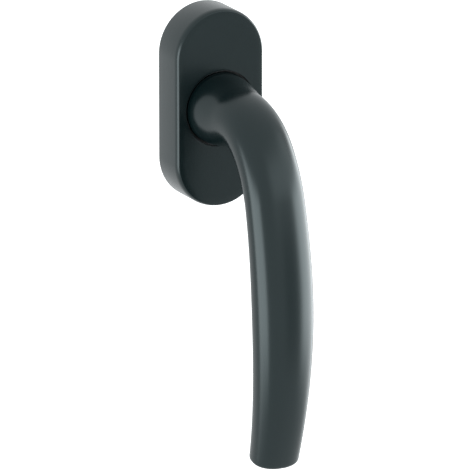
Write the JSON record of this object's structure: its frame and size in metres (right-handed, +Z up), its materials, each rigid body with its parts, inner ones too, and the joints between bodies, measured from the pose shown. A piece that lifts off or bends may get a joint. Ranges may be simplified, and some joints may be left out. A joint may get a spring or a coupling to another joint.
{
  "type": "window handle",
  "caption": "Bow-shaped window handle lever on an oval rose, with a ball detent, a pull-off cover cap, a square spindle and hidden fixing screws.",
  "frame": {"origin": "on the wall plane, on the axis of the spindle, midway between the two fixing screws", "axes": "+Z up, with the lever hanging along -Z at rest; -Y points out from the wall to the user; +Y points into the window sash, along the spindle; +X is to the right of someone who faces the handle"},
  "size_m": [0.032, 0.084, 0.1453],
  "materials": {
    "black_satin": "satin black anodised aluminium",
    "plated_steel": "zinc plated",
    "spring_steel": "bright spring steel",
    "polished_steel": "polished",
    "blackened_steel": "phosphated",
    "sintered_steel": "sintered, matt",
    "bearing_plastic": "natural acetal",
    "black_plastic": "moulded",
    "base_plastic": "glass filled, moulded"
  },
  "bodies": {
    "rose_base": {"base_plate": "base_plastic", "lug_sleeves": "plated_steel", "bearing_bush": "bearing_plastic", "back_plate": "plated_steel", "back_plate_screws": "plated_steel", "fixing_screws": "plated_steel", "cap_clips": "spring_steel", "detent_spring_upper": "spring_steel", "detent_spring_lower": "spring_steel"},
    "handle": {"lever": "black_satin", "spindle": "plated_steel", "spindle_clip": "spring_steel", "detent_disc": "sintered_steel", "spring_washer": "spring_steel", "retaining_ring": "blackened_steel", "thrust_washer": "bearing_plastic"},
    "cap": {"cover_cap": "black_satin", "guide_ring": "black_plastic"},
    "upper_ball": {"detent_ball_upper": "polished_steel"},
    "lower_ball": {"detent_ball_lower": "polished_steel"}
  },
  "joints": [
    {"name": "handle_turn", "type": "hinge", "parent": "rose_base", "child": "handle", "pos_m": [0, 0, 0], "axis": [0, 1, 0], "range_deg": [-180, 180]},
    {"name": "cap_pull", "type": "slide", "parent": "rose_base", "child": "cap", "axis": [0, -1, 0], "range_m": [0, 0.012]},
    {"name": "upper_ball_drop", "type": "slide", "parent": "rose_base", "child": "upper_ball", "axis": [0, 0, -1], "range_m": [0, 0.0008], "stiffness_N_per_m": 2000, "deforming": ["detent_spring_upper"]},
    {"name": "lower_ball_drop", "type": "slide", "parent": "rose_base", "child": "lower_ball", "axis": [0, 0, 1], "range_m": [0, 0.0008], "stiffness_N_per_m": 2000, "deforming": ["detent_spring_lower"]}
  ],
  "couplings": [
    {"joint": "lower_ball_drop", "follows": "upper_ball_drop", "ratio": 1}
  ]
}
